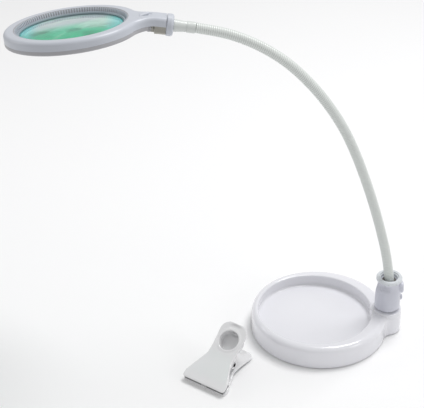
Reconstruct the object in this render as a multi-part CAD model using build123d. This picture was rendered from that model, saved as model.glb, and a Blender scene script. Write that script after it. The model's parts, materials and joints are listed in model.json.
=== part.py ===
from build123d import *
from math import atan, cos, degrees, radians, sin, sqrt, tan
import os

# Magnifying lamp: a round lens with a ring of LEDs on a gooseneck, which plugs into a heavy dish base.
# A spring clip with the same socket lies beside the base. Millimetres, +Z up.
# Origin: centre of the base's underside. The arm leans towards -X.

# ---------------------------------------------------------------- driving dimensions
# base
BASE_R = 82.0
BASE_TOP = 28.5
BASE_WALL = 2.4
RIM_ROUND = 7.0
RIM_W = 13.0
TRAY_SHIFT = -5.4
TRAY_FLOOR = 14.0
TRAY_ROUND = 3.0
TRAY_T = 2.2
PAD_T = 1.2
PLATE_T = 1.8
WEIGHT_T = 7.8
BASE_SCREW_R = 1.6
BOSS_TOP = 30.0
LINER_T = 2.0
SOCKET_FLOOR = 14.5
# plug and stem
PLUG_R = 12.0
PLUG_LEN = 14.6
STEM_H = 40.0
STEM_WALL = 2.2
STEM_SCREW_R = 1.2
STEM_SCREW_X = -9.0
COLLAR_RING_H = 5.0
SPIGOT_R = 6.0
JACK_R = 4.6
JACK_BORE_R = 2.8
JACK_Z = 29.5
BULGE_R = 7.4
BUTTON_R = 3.6
BUTTON_Z = 14.8
BUTTON_TRAVEL = 1.5
# gooseneck: (arc length, turn in degrees) from the stem upwards
NECK_ARCS = ((14.0, 12.0), (170.0, 10.5), (116.0, 22.0), (128.4, 38.5))
NECK_R = 5.8
NECK_BORE_R = 3.0
NECK_SPANS = 12
NECK_BEND = 23.0
NECK_BURIED = 4.0
# top ferrule
FERRULE_LEN = 26.0
SWIVEL_R = 4.0
SWIVEL_LEN = 8.2
# head
HEAD_ROLL = 8.9
HANDLE_DROOP = 13.2
TOP_H = 9.8
BOTTOM_H = 4.7
SHELL_T = 2.1
LENS_R = 57.0
LENS_EDGE = 2.5
LENS_CURVE_R = 347.0
LENS_SEAT = 0.4
LENS_LIP = 1.8
HANDLE_W = 26.0
HANDLE_FILLET = 26.0
HANDLE_BEND_R = 60.0
END_COLLAR_LEN = 7.8
HINGE_Z = -3.1
HINGE_PIN_R = 1.6
EAR_R = 3.0
BARREL_DEPTH = 9.5
LED_COUNT = 36
HEAD_SCREWS = 5
HEAD_SCREW_R = 1.1
SWITCH_LEN = 9.6
SWITCH_W = 8.0
SWITCH_RISE = 1.9
SWITCH_TRAVEL = 3.0
# clip
CLIP_YAW = 55.0
JAW_LEN = 42.0
JAW_HALF = 29.0
LEVER_LEN = 38.0
CLIP_WALL = 3.0
LEVER_RISE = 26.0
LEVER_TIP_R = 11.5
PIVOT_TUBE_R = 3.6
PAD_RUBBER = 1.5
CLIP_SOCKET_X = 17.0
CLIP_SOCKET_DEPTH = 12.5
LEVER_SLOPE = 20.7
MOUTH_LIP = 4.2
# clearances
SHAFT_GAP = 0.05
SLIDE_GAP = 0.35
FACE_GAP = 0.2
EPS = 0.1

# ---------------------------------------------------------------- dimensions that follow
TRAY_R = BASE_R - RIM_W
WEIGHT_R = BASE_R - 10.0
BASE_SCREW_PCD_R = BASE_R - 27.0
SOCKET_X = BASE_R + 0.5
SOCKET_R = PLUG_R + SHAFT_GAP
BOSS_R = PLUG_R + 6.0
STEM_R = PLUG_R + 3.3
STEM_WAIST_R = STEM_R - 1.9
COLLAR_RING_R = STEM_R + 0.3
COLLAR_BORE_R = NECK_R + 4.2
BULGE_OUT = STEM_R + 2.3
JACK_INNER = STEM_R - 6.7
FERRULE_R = NECK_R + 1.1
RIM_R = LENS_R + 4.9
RING_R = LENS_R + 16.0
LED_RING_R = LENS_R + 5.6
HEAD_SCREW_PCD_R = RING_R - 4.0
HANDLE_BEND_X = RING_R + 5.0
HANDLE_END = RING_R + 31.5
HINGE_X = RING_R + 9.0
SWITCH_X = RING_R + 1.0
END_COLLAR_R = HANDLE_W / 2 - 0.9
TONGUE_HALF = HANDLE_W / 2 - 4.7
BARREL_HALF = HANDLE_W / 2 - 2.6
ROOF = TOP_H - SHELL_T
BUSH_R = ROOF - 0.4
LEVER_HALF = PLUG_R + 6.0
CLIP_WAIST_HALF = PLUG_R + 5.0
PIVOT_BORE_R = PIVOT_TUBE_R - 1.0
CLIP_POS = (-BASE_R - 36.0, -BASE_R - 2.0)

PARTS = {}


# ---------------------------------------------------------------- helpers
def keep(name, shape):
    PARTS[name] = shape


def turned(*points):
    """Solid turned about Z from an outline of (radius, height) points."""
    return revolve(make_face(Plane.XZ * Polyline(*points, close=True)), Axis.Z)


def turned_face(edges):
    """Solid turned about Z from an outline of edges in XZ."""
    return revolve(Plane.XZ * make_face(edges), Axis.Z)


def tube(outer, inner, low, high):
    return turned((inner, low), (outer, low), (outer, high), (inner, high))


def disc(radius, low, high, at=(0, 0)):
    return Pos(at[0], at[1], low) * extrude(Circle(radius), high - low)


def slab(x, y, z):
    """Box from three (low, high) pairs."""
    size = [b - a for a, b in (x, y, z)]
    centre = [(a + b) / 2 for a, b in (x, y, z)]
    return Pos(*centre) * Box(*size)


def across(outline, half, low=None):
    """Outline of (x, z) points made solid from y = -half to y = half, or from low to half."""
    start = -half if low is None else low
    face = make_face(Plane.XZ.offset(-half) * Polyline(*outline, close=True))
    return extrude(face, half - start, dir=(0, -1, 0))


def polar(radius, count, start=0.0):
    for i in range(count):
        a = radians(start + 360.0 * i / count)
        yield radius * cos(a), radius * sin(a), degrees(a)


def group(solids):
    return Compound(children=list(solids))


def screw(radius, head_r, length, at):
    """Pan-head screw standing head down at its place."""
    x, y, z = at
    return Pos(x, y, z) * (Cylinder(head_r, 1.4, align=(Align.CENTER, Align.CENTER, Align.MIN))
                           + Pos(0, 0, 1.4) * Cylinder(radius, length - 1.4,
                                                       align=(Align.CENTER, Align.CENTER, Align.MIN)))


# ---------------------------------------------------------------- gooseneck path
def neck_point(distance):
    """Place (x, z) and heading in degrees of the gooseneck's centre line, from the stem's axis."""
    x, z, heading = SOCKET_X, NECK_START_Z, 90.0
    for length, turn in NECK_ARCS:
        part = min(max(distance, 0.0), length)
        radius = length / radians(turn)
        new = heading + turn * part / length
        x += radius * (sin(radians(new)) - sin(radians(heading)))
        z -= radius * (cos(radians(new)) - cos(radians(heading)))
        heading = new
        distance -= length
        if distance <= 0:
            break
    return x, z, heading


STEM_BASE = BOSS_TOP + 1.0
STEM_TOP = STEM_BASE + STEM_H
NECK_START_Z = STEM_TOP + COLLAR_RING_H - NECK_BURIED
NECK_LEN = sum(length for length, turn in NECK_ARCS)
HINGES = [neck_point(NECK_LEN * i / NECK_SPANS) for i in range(NECK_SPANS + 1)]


def along(start, direction, x_dir=(0, 1, 0)):
    """Plane whose Z runs along a direction."""
    return Plane(origin=start, x_dir=x_dir, z_dir=direction)


neck_x, neck_z, neck_heading = HINGES[-1]
neck_dir = Vector(cos(radians(neck_heading)), 0, sin(radians(neck_heading)))
NECK_END = Vector(neck_x, 0, neck_z)
NECK_END_PLANE = along(NECK_END, neck_dir)

# head frame: X towards the neck, Z up through the lens, origin at the lens centre
COLLAR_CENTRE = NECK_END + neck_dir * (FERRULE_LEN + END_COLLAR_LEN / 2)
end_axis = neck_dir * -1
end_up = Vector(-end_axis.Z, 0, end_axis.X)
end_up = end_up.rotate(Axis((0, 0, 0), tuple(end_axis)), HEAD_ROLL)
if end_up.Y < 0:
    end_up = Vector(-end_axis.Z, 0, end_axis.X).rotate(Axis((0, 0, 0), tuple(end_axis)), -HEAD_ROLL)
side = end_up.cross(end_axis)
head_x = end_axis.rotate(Axis((0, 0, 0), tuple(side)), -HANDLE_DROOP)
head_z = end_up.rotate(Axis((0, 0, 0), tuple(side)), -HANDLE_DROOP)


def handle_z(x):
    """Height of the handle's centre line, in the head frame."""
    droop = radians(HANDLE_DROOP)
    bend_end = HANDLE_BEND_X + HANDLE_BEND_R * sin(droop)
    if x <= HANDLE_BEND_X:
        return 0.0
    if x <= bend_end:
        return sqrt(HANDLE_BEND_R ** 2 - (x - HANDLE_BEND_X) ** 2) - HANDLE_BEND_R
    return -HANDLE_BEND_R * (1 - cos(droop)) - (x - bend_end) * sin(droop) / cos(droop)


LENS_CENTRE = COLLAR_CENTRE - head_x * HANDLE_END - head_z * handle_z(HANDLE_END)
HEAD = Plane(origin=LENS_CENTRE, x_dir=head_x, z_dir=head_z)
COLLAR_PLANE = along(COLLAR_CENTRE - neck_dir * (END_COLLAR_LEN / 2), neck_dir)


def handle_band(low, high, x_start, x_end):
    """Face in XZ between two heights over the handle's centre line."""
    droop = radians(HANDLE_DROOP)
    end = (HANDLE_BEND_X + HANDLE_BEND_R * sin(droop), -HANDLE_BEND_R * (1 - cos(droop)))
    reach = (x_end - end[0]) / cos(droop)

    def edge(height):
        r = HANDLE_BEND_R + height
        bend = [(HANDLE_BEND_X + r * sin(a), r * cos(a) - HANDLE_BEND_R) for a in (0, droop / 2, droop)]
        last = (bend[2][0] + reach * cos(droop), bend[2][1] - reach * sin(droop))
        return (x_start, height), bend, last

    first_hi, bend_hi, last_hi = edge(high)
    first_lo, bend_lo, last_lo = edge(low)
    edges = [Line(first_lo, first_hi), Line(first_hi, bend_hi[0]), ThreePointArc(*bend_hi),
             Line(bend_hi[2], last_hi), Line(last_hi, last_lo), Line(last_lo, bend_lo[2]),
             ThreePointArc(*bend_lo), Line(bend_lo[0], first_lo)]
    return Plane.XZ * make_face(edges)


def head_plan(inset, x_end):
    """Outline of the head from above: the ring and the handle with hollow curves between them."""
    half = HANDLE_W / 2 - inset
    ring_r = RING_R - inset
    sketch = Circle(ring_r) + Pos(x_end / 2, 0) * Rectangle(x_end, 2 * half)
    joins = [v for v in sketch.vertices() if abs(v.X - sqrt(ring_r ** 2 - half ** 2)) < 0.5]
    return fillet(joins, HANDLE_FILLET + inset)


# ---------------------------------------------------------------- base
def base_plan(inset):
    sketch = Circle(BASE_R - inset) + Pos(SOCKET_X, 0) * Circle(BOSS_R - inset)
    joins = [v for v in sketch.vertices() if 0.5 * BASE_R < v.X < SOCKET_X and abs(v.Y) > 5]
    return fillet(joins, 12.0 + inset)


PLATE_TOP = PAD_T + PLATE_T
plate_fit = BASE_WALL + FACE_GAP


def base_screw_places():
    return [(x, y) for x, y, a in polar(BASE_SCREW_PCD_R, 4, 45)]


def make_base():
    body = Pos(0, 0, PAD_T) * extrude(base_plan(0), BASE_TOP - PAD_T)
    rim = body.edges().filter_by_position(Axis.Z, BASE_TOP - EPS, BASE_TOP + EPS)
    body = fillet(rim, RIM_ROUND)
    boss = disc(BOSS_R - 0.6, BASE_TOP - RIM_ROUND, BOSS_TOP, (SOCKET_X, 0))
    top = boss.edges().filter_by_position(Axis.Z, BOSS_TOP - EPS, BOSS_TOP + EPS)
    body += fillet(top, 1.2)
    tray = disc(TRAY_R, TRAY_FLOOR, BOSS_TOP + 5, (TRAY_SHIFT, 0))
    tray -= disc(BOSS_R + 2.5, 0, BOSS_TOP + 6, (SOCKET_X, 0))
    floor_edges = tray.edges().filter_by_position(Axis.Z, TRAY_FLOOR - EPS, TRAY_FLOOR + EPS)
    body -= fillet(floor_edges, TRAY_ROUND)
    lip = [e for e in body.edges().filter_by(GeomType.CIRCLE)
           if abs(e.radius - TRAY_R) < 0.01 and e.center().Z > BASE_TOP - 1]
    body = fillet(lip, 2.0)
    hollow = Pos(0, 0, PAD_T - 1) * extrude(base_plan(BASE_WALL), TRAY_FLOOR - TRAY_T - PAD_T + 1)
    hollow -= disc(BOSS_R + 0.6, 0, BOSS_TOP, (SOCKET_X, 0))
    body -= hollow
    body -= disc(SOCKET_R + LINER_T, SOCKET_FLOOR - LINER_T, BOSS_TOP + 1, (SOCKET_X, 0))
    keep("base_shell", body - disc(TRAY_R - TRAY_ROUND, 0, TRAY_FLOOR + 1, (TRAY_SHIFT, 0)))
    floor = disc(TRAY_R - TRAY_ROUND, TRAY_FLOOR - TRAY_T, TRAY_FLOOR, (TRAY_SHIFT, 0))
    for x, y in base_screw_places():
        floor += disc(2 * BASE_SCREW_R, PLATE_TOP + FACE_GAP, TRAY_FLOOR - 1, (x, y))
        floor -= disc(BASE_SCREW_R, PLATE_TOP, TRAY_FLOOR - 3, (x, y))
    keep("base_tray", floor)

    liner = tube(SOCKET_R + LINER_T, SOCKET_R, SOCKET_FLOOR - LINER_T, BOSS_TOP)
    liner += tube(SOCKET_R + LINER_T, 0, SOCKET_FLOOR - LINER_T, SOCKET_FLOOR)
    keep("socket_liner", Pos(SOCKET_X, 0, 0) * liner)

    plate = Pos(0, 0, PAD_T) * extrude(base_plan(plate_fit), PLATE_T)
    plate -= disc(BOSS_R + 0.8, 0, BOSS_TOP, (SOCKET_X, 0))
    weight = disc(WEIGHT_R, PLATE_TOP, PLATE_TOP + WEIGHT_T)
    weight -= disc(BOSS_R + 1.0, 0, BOSS_TOP, (SOCKET_X, 0))
    screws = []
    for x, y in base_screw_places():
        plate -= disc(BASE_SCREW_R + FACE_GAP, 0, BASE_TOP, (x, y))
        plate -= disc(3.2, 0, PAD_T + 1.5, (x, y))
        weight -= disc(4.0, 0, BASE_TOP, (x, y))
        screws.append(screw(BASE_SCREW_R, 3.0, 9.0, (x, y, PAD_T + 0.1)))
    keep("base_bottom_plate", plate)
    keep("base_weight", weight)
    keep("base_screws", group(screws))
    keep("base_pad", disc(BASE_R - 8, 0, PAD_T))


# ---------------------------------------------------------------- plug and stem
def make_plug():
    z0 = STEM_BASE - 0.3
    plug = turned((0, z0 - PLUG_LEN), (PLUG_R - 0.8, z0 - PLUG_LEN), (PLUG_R, z0 - PLUG_LEN + 0.8),
                  (PLUG_R, z0), (SPIGOT_R, z0), (SPIGOT_R, z0 + 9), (SPIGOT_R + 2.5, z0 + 9),
                  (SPIGOT_R + 2.5, z0 + 11), (0, z0 + 11))
    keep("stem_plug", Pos(SOCKET_X, 0, 0) * plug)


def stem_outer(inset):
    """Bell-shaped stem body about Z, from its foot to the collar ring."""
    low, high = STEM_BASE + inset, STEM_TOP - inset
    r = STEM_R - inset
    neck = (COLLAR_RING_R - 1.2 - inset, high)
    foot = Polyline((0, low), (r - 2.6, low), (r, low + 3), (r, STEM_TOP - 20))
    waist = Spline((r, STEM_TOP - 20), (r - 0.7, STEM_TOP - 13), (STEM_WAIST_R - inset, STEM_TOP - 6), neck,
                   tangents=((0, 1), (0.4, 1)))
    return turned_face([*foot.edges(), waist, Line(neck, (0, high)), Line((0, high), (0, low))])


def lying(radius, start, end, z):
    """Round bar along X in the stem's frame."""
    return Pos(start, 0, z) * Rot(0, 90, 0) * Cylinder(radius, end - start,
                                                       align=(Align.CENTER, Align.CENTER, Align.MIN))


def make_stem():
    jack_z = STEM_BASE + JACK_Z
    button_z = STEM_BASE + BUTTON_Z
    outer = stem_outer(0)
    bulge = lying(BULGE_R, 0, BULGE_OUT, jack_z)
    bulge = fillet(bulge.edges().filter_by_position(Axis.X, BULGE_OUT - EPS, BULGE_OUT + EPS), 2.0)
    outer += bulge
    shell = outer - (stem_outer(STEM_WALL) + lying(BULGE_R - STEM_WALL, 0, BULGE_OUT - 2, jack_z))
    shell -= lying(JACK_R, 6, BULGE_OUT + 1, jack_z)
    shell -= lying(BUTTON_R + SLIDE_GAP, 6, STEM_R + 2, button_z)
    shell -= disc(SPIGOT_R + SHAFT_GAP, STEM_BASE - 1, STEM_BASE + STEM_WALL + 1)
    shell -= disc(NECK_R + 2.6, STEM_TOP - 6, STEM_TOP + 1)
    place = Pos(SOCKET_X, 0, 0)
    half = 2 * STEM_R + BULGE_OUT
    front = shell & slab((-half, half), (-half, -0.02), (0, STEM_TOP + 10))
    back = shell & slab((-half, half), (0.02, half), (0, STEM_TOP + 10))
    stem_screw_heights = (STEM_BASE + 14, STEM_TOP - 11)
    bosses = []
    for z in stem_screw_heights:
        bosses.append(Pos(STEM_SCREW_X, 0, z) * Rot(90, 0, 0) * Cylinder(STEM_SCREW_R + 1.4, STEM_R))
    boss_set = (bosses[0] + bosses[1]) & stem_outer(STEM_WALL - 0.3)
    front += boss_set & slab((-half, half), (-half, -0.02), (0, STEM_TOP))
    back += boss_set & slab((-half, half), (0.02, half), (0, STEM_TOP))
    screws = []
    reach = sqrt(STEM_R ** 2 - STEM_SCREW_X ** 2) - FACE_GAP
    for z in stem_screw_heights:
        bar = Pos(STEM_SCREW_X, 1.6, z) * Rot(90, 0, 0) * Cylinder(STEM_SCREW_R, STEM_R + 2.7)
        head = Pos(STEM_SCREW_X, reach - 1.4, z) * Rot(90, 0, 0) * Cylinder(2.3, 2.8)
        front -= bar
        back -= bar + Pos(STEM_SCREW_X, reach + 1, z) * Rot(90, 0, 0) * Cylinder(2.3, 7.6)
        screws.append(bar + head)
    keep("stem_body_front", place * front)
    keep("stem_body_back", place * back)
    keep("stem_screws", place * group(screws))

    z = STEM_TOP
    top = z + COLLAR_RING_H
    ring = turned((COLLAR_BORE_R, z + 0.05), (COLLAR_RING_R - 1.0, z + 0.05), (COLLAR_RING_R, z + 1.2),
                  (COLLAR_RING_R, top - 1.2), (COLLAR_RING_R - 1.2, top), (COLLAR_BORE_R + 1.6, top),
                  (COLLAR_BORE_R + 1.0, top - 1.6), (COLLAR_BORE_R, top - 1.6))
    keep("stem_collar", place * ring)
    anchor = turned((NECK_BORE_R, z - 16), (NECK_R + 0.4, z - 16), (NECK_R + 0.4, z - 5.5),
                    (NECK_R + 2.4, z - 5.5), (NECK_R + 2.4, z - 0.2), (NECK_R + 0.4, z - 0.2),
                    (NECK_BORE_R, z - 0.6))
    keep("neck_anchor", place * anchor)
    jack = lying(JACK_R - SHAFT_GAP, JACK_INNER, BULGE_OUT - 0.4, jack_z)
    jack -= lying(JACK_BORE_R, JACK_INNER + 1.6, BULGE_OUT + 1, jack_z)
    jack += lying(1.0, JACK_INNER + 1.0, BULGE_OUT - 2.0, jack_z)
    keep("dc_jack", place * jack)
    button = lying(BUTTON_R, STEM_R - 5.0, STEM_R + 2.2, button_z)
    button = fillet(button.edges().filter_by_position(Axis.X, STEM_R + 2.1, STEM_R + 2.3), 1.8)
    keep("release_button", place * button)
    spring = lying(2.6, STEM_R - 9.5, STEM_R - 5.0, button_z) - lying(1.9, 0, STEM_R, button_z)
    keep("button_spring", place * spring)


# ---------------------------------------------------------------- gooseneck
def make_neck():
    tan_half = tan(radians(NECK_BEND / 2))
    back_in = 0.12 + NECK_BORE_R * tan_half
    back_out = 0.12 + NECK_R * tan_half
    for i in range(NECK_SPANS):
        (xa, za, ha), (xb, zb, hb) = HINGES[i], HINGES[i + 1]
        run = Vector(xb - xa, 0, zb - za)
        span = turned((NECK_BORE_R, back_in), (NECK_R, back_out), (NECK_R, run.length - back_out),
                      (NECK_BORE_R, run.length - back_in))
        keep(f"neck_span_{i + 1:02d}", along((xa, 0, za), run) * span)


def make_ferrule():
    slope = tan(radians(NECK_BEND / 2 + 5))
    shoulder = FERRULE_LEN - 0.3
    ferrule = turned((0, 0.5), (NECK_BORE_R, 0.5 + NECK_BORE_R * slope), (NECK_R, 0.5 + NECK_R * slope),
                     (NECK_R, 12.0), (NECK_R - 0.1, 12.0), (FERRULE_R, shoulder), (SWIVEL_R, shoulder),
                     (SWIVEL_R, shoulder + SWIVEL_LEN), (0, shoulder + SWIVEL_LEN))
    sleeve = tube(NECK_R + 0.55, NECK_R, 3.0, 11.6)
    keep("ferrule_top", NECK_END_PLANE * ferrule)
    keep("ferrule_sleeve", NECK_END_PLANE * sleeve)


# ---------------------------------------------------------------- knuckle
def make_knuckle():
    droop = radians(HANDLE_DROOP)
    start = HANDLE_END - END_COLLAR_LEN / 2 * cos(droop)
    stations = (HINGE_X + 5, HANDLE_BEND_X + HANDLE_BEND_R * sin(droop), start + 3)
    high = ROOF - 0.5
    body = across([(x, handle_z(x) + high) for x in stations]
                  + [(x, handle_z(x) - BARREL_DEPTH) for x in reversed(stations)], BARREL_HALF)
    long_edges = [e for e in body.edges() if abs(abs(e.center().Y) - BARREL_HALF) < EPS
                  and e.center().Z < 0 and e.length > 10 and e.center().X < start - 3]
    body = fillet(long_edges, 2.5)
    tongue_r = EAR_R + 1.0
    tongue = across([(HINGE_X, HINGE_Z - tongue_r), (HINGE_X + 6.5, HINGE_Z - 5.5), (HINGE_X + 8, 0),
                     (HINGE_X + 8, ROOF - 1.9), (HINGE_X + 1.5, ROOF - 1.5), (HINGE_X - 1.5, 3.2),
                     (HINGE_X - 3.2, HINGE_Z + 2.4)], TONGUE_HALF)
    tongue += Pos(HINGE_X, 0, HINGE_Z) * Rot(90, 0, 0) * Cylinder(tongue_r, 2 * TONGUE_HALF)
    tongue -= Pos(HINGE_X, 0, HINGE_Z) * Rot(90, 0, 0) * Cylinder(HINGE_PIN_R + SHAFT_GAP, 40)
    body = HEAD * (body + tongue)
    length = END_COLLAR_LEN
    collar = turned((SWIVEL_R + SHAFT_GAP, 0), (END_COLLAR_R - 2.4, 0), (END_COLLAR_R - 0.7, 0.8),
                    (END_COLLAR_R, 2.6), (END_COLLAR_R, length - 1.0), (END_COLLAR_R - 0.8, length - 0.1),
                    (BUSH_R, length - 0.1), (BUSH_R, 2.6), (SWIVEL_R + SHAFT_GAP, 2.6))
    neck_bush = tube(BUSH_R, SWIVEL_R + SHAFT_GAP, 2.6, length + 0.5)
    bore = disc(SWIVEL_R + SHAFT_GAP, length - 1, SWIVEL_LEN + 2.0)
    keep("end_collar", COLLAR_PLANE * collar)
    body -= COLLAR_PLANE * disc(3 * END_COLLAR_R, -3 * length, length)
    keep("hinge_barrel", body + COLLAR_PLANE * neck_bush - COLLAR_PLANE * bore)


# ---------------------------------------------------------------- head
def lens_cap(sign):
    """Height of the lens face at its centre, over its edge."""
    return sign * (LENS_CURVE_R - sqrt(LENS_CURVE_R ** 2 - LENS_R ** 2))


def make_lens():
    low, high = LENS_SEAT, LENS_SEAT + LENS_EDGE
    sag = lens_cap(1)
    mid = LENS_R / 2
    mid_sag = sag - (LENS_CURVE_R - sqrt(LENS_CURVE_R ** 2 - mid ** 2))
    edges = [Line((0, low - sag), (0, high + sag)),
             ThreePointArc((0, high + sag), (mid, high + mid_sag), (LENS_R, high)),
             Line((LENS_R, high), (LENS_R, low)),
             ThreePointArc((LENS_R, low), (mid, low - mid_sag), (0, low - sag))]
    keep("lens", HEAD * revolve(Plane.XZ * make_face(edges), Axis.Z))


def make_head_shells():
    x_end = HANDLE_END - END_COLLAR_LEN / 2 * cos(radians(HANDLE_DROOP)) - FACE_GAP
    far = RING_R + 20
    reach = x_end + 30

    def slice_of(inset, low, high, end):
        block = Pos(0, 0, -40) * extrude(head_plan(inset, reach), 80)
        band = handle_band(low, high, -far, end)
        return block & (Pos(0, far, 0) * extrude(band, 2 * far, dir=(0, -1, 0)))

    top = slice_of(0, 0.05, TOP_H, x_end + 6)
    rim = [e for e in top.edges() if min(v.Z for v in e.vertices()) > 1.5 and e.length > 2
           and (abs(e.center().Y) > 6 or e.center().X < 0)]
    top = fillet(rim, 4.5)
    top -= slice_of(SHELL_T, -1, ROOF, x_end + 12)
    top -= disc(RIM_R, 0, TOP_H + 1)
    switch_low = SWITCH_X + 2.0
    top -= slab((SWITCH_X - 0.4, SWITCH_X + SWITCH_LEN + SWITCH_TRAVEL + 0.4),
                (-SWITCH_W / 2 - 0.4, SWITCH_W / 2 + 0.4), (TOP_H - 0.7, TOP_H + 5))
    top -= slab((switch_low - 0.4, switch_low + 3 + SWITCH_TRAVEL + 0.4), (-1.9, 1.9), (5, TOP_H))
    bottom = slice_of(0, -BOTTOM_H, -0.05, x_end) & slab((-far, HINGE_X), (-far, far), (-20, 20))
    under = [e for e in bottom.edges() if max(v.Z for v in e.vertices()) < -BOTTOM_H + 1.0
             and e.length > 6 and (abs(e.center().Y) > 6 or e.center().X < 0)]
    bottom = fillet(under, 2.0)
    inner_end = HINGE_X - 7.0
    bottom -= slice_of(SHELL_T, -BOTTOM_H + 2.0, 2, x_end) & slab((-far, inner_end), (-far, far), (-20, 20))
    bottom -= disc(LED_RING_R + 4.0, -BOTTOM_H - 1, 1)
    bottom -= slab((HINGE_X - 4.9, HINGE_X + 20), (-TONGUE_HALF - 0.3, TONGUE_HALF + 0.3), (-20, 5))
    for sign in (-1, 1):
        y = sign * (TONGUE_HALF + 0.3 + (HANDLE_W / 2 - 0.4)) / 2
        width = HANDLE_W / 2 - 0.4 - TONGUE_HALF - 0.3
        ear = Pos(HINGE_X, y, HINGE_Z) * Rot(90, 0, 0) * Cylinder(EAR_R, width)
        web = slab((HINGE_X - 4, HINGE_X), (y - width / 2, y + width / 2), (-BOTTOM_H + 0.3, -0.5))
        bottom += ear + web
    bottom -= Pos(HINGE_X, 0, HINGE_Z) * Rot(90, 0, 0) * Cylinder(HINGE_PIN_R, HANDLE_W - 2.8)
    screws = []
    for x, y, a in polar(HEAD_SCREW_PCD_R, HEAD_SCREWS, 36):
        boss = disc(HEAD_SCREW_R + 1.5, 0.1, ROOF + 0.3, (x, y)) & disc(RING_R - 1, -1, TOP_H)
        top += boss
        top -= disc(HEAD_SCREW_R, 0, ROOF - 1, (x, y))
        bottom -= disc(HEAD_SCREW_R + FACE_GAP, -BOTTOM_H - 1, 1, (x, y))
        bottom -= disc(HEAD_SCREW_R + 1.1, -BOTTOM_H - 1, -BOTTOM_H + 1.5, (x, y))
        screws.append(screw(HEAD_SCREW_R, HEAD_SCREW_R + 0.9, ROOF - 1.3 + BOTTOM_H, (x, y, -BOTTOM_H + 0.1)))
    beyond_collar = COLLAR_PLANE * disc(3 * END_COLLAR_R, -3 * END_COLLAR_LEN, END_COLLAR_LEN + FACE_GAP)
    keep("head_top_cover", HEAD * top - beyond_collar)
    keep("head_bottom_cover", HEAD * bottom)
    keep("head_screws", HEAD * group(screws))
    pin = Pos(HINGE_X, 0, HINGE_Z) * Rot(90, 0, 0) * Cylinder(HINGE_PIN_R, HANDLE_W - 3.0)
    keep("hinge_pin", HEAD * pin)


def make_head_rings():
    lip = LENS_R - LENS_LIP
    wall = LENS_R + 0.2
    cell_r = LENS_R + 1.6
    flange = HEAD_SCREW_PCD_R - 3.0
    top = LENS_SEAT + LENS_EDGE
    keep("lens_cell", HEAD * turned((lip, -BOTTOM_H + 0.2), (cell_r, -BOTTOM_H + 0.2), (cell_r, 0.2),
                                    (flange, 0.2), (flange, 1.4),
                                    (cell_r, 1.4), (cell_r, top + 0.3), (wall, top + 0.3),
                                    (wall, 0.05), (lip, 0.05)))
    keep("lens_gasket", HEAD * tube(cell_r - 0.1, lip + 0.7, top + 0.35, top + 1.5))
    keep("lens_retainer", HEAD * turned((lip + 0.9, top + 1.5), (cell_r + 0.1, top + 1.5),
                                        (cell_r + 0.1, top + 2.6), (lip + 1.5, top + 2.6)))
    keep("ribbed_ring", HEAD * turned((cell_r + 0.4, top + 1.0), (cell_r + 1.8, top + 1.0),
                                      (RIM_R - 0.1, ROOF - 0.8), (RIM_R - 0.1, TOP_H - 0.2),
                                      (RIM_R - 0.9, TOP_H - 0.2)))
    board = tube(LED_RING_R + 3.8, cell_r + 0.3, -1.4, 0.15)
    keep("led_board", HEAD * board)
    chips = []
    for x, y, a in polar(LED_RING_R, LED_COUNT, 5):
        chips.append(Pos(x, y, -1.9) * Rot(0, 0, a) * Box(2.8, 3.5, 1.0))
    keep("leds", HEAD * group(chips))
    inner, outer, low = cell_r + 0.2, LED_RING_R + 3.8, -BOTTOM_H + 0.2
    keep("led_diffuser", HEAD * turned((inner, low), (outer, low), (outer, low + 1.9), (outer + 1.2, low + 1.9),
                                       (outer + 1.2, low + 2.7), (outer - 0.4, low + 2.7),
                                       (outer - 0.4, low + 1.9), (inner, low + 1.9)))


def make_switch():
    low, high = SWITCH_X, SWITCH_X + SWITCH_LEN
    floor = TOP_H - 0.6
    knob = across([(low, floor), (high, floor), (high, TOP_H + SWITCH_RISE), (high - 1.2, TOP_H + SWITCH_RISE),
                   (low, TOP_H + 0.1)], SWITCH_W / 2)
    corners = [e for e in knob.edges() if abs(abs(e.center().Y) - SWITCH_W / 2) < EPS
               and e.center().Z > TOP_H + 0.5 and e.length > 5]
    knob = fillet(corners, 0.8)
    knob += slab((low + 2.0, low + 5.0), (-1.5, 1.5), (TOP_H - 4.4, floor + 0.1))
    keep("power_switch", HEAD * knob)
    housing = slab((low - 4.5, low + 5.0 + SWITCH_TRAVEL - 2.3), (-5.0, 5.0), (TOP_H - 6.6, ROOF - 0.2))
    housing -= slab((low + 2.0 - 0.4, low + 5.0 + SWITCH_TRAVEL + 0.4), (-1.9, 1.9), (TOP_H - 4.8, TOP_H))
    keep("switch_housing", HEAD * housing)
    keep("driver_board", HEAD * slab((LED_RING_R + 5.4, HINGE_X - 7.6), (-8.5, 8.5),
                                    (-BOTTOM_H + 2.05, -BOTTOM_H + 3.45)))


# ---------------------------------------------------------------- clip
def jaw_side():
    """Half of the clip seen from the side, as a face in XZ."""
    inner = 0.25 + PAD_RUBBER
    skin = Spline((-JAW_LEN, MOUTH_LIP), (-JAW_LEN + 8, 6.0), (-12, 9.6), (2, 12.4), (20, 18.5),
                  (LEVER_LEN, LEVER_RISE))
    lining = Spline((LEVER_LEN, LEVER_RISE - CLIP_WALL), (20, 18.5 - CLIP_WALL - 0.4), (5, 9.4), (-9, 6.6))
    mouth = Polyline((-9, 6.6), (-15, 6.4), (-20, 4.6), (-22, inner), (-JAW_LEN, inner), (-JAW_LEN, MOUTH_LIP))
    tip = Line((LEVER_LEN, LEVER_RISE), (LEVER_LEN, LEVER_RISE - CLIP_WALL))
    return Plane.XZ * make_face([skin, tip, lining, *mouth.edges()])


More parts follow.
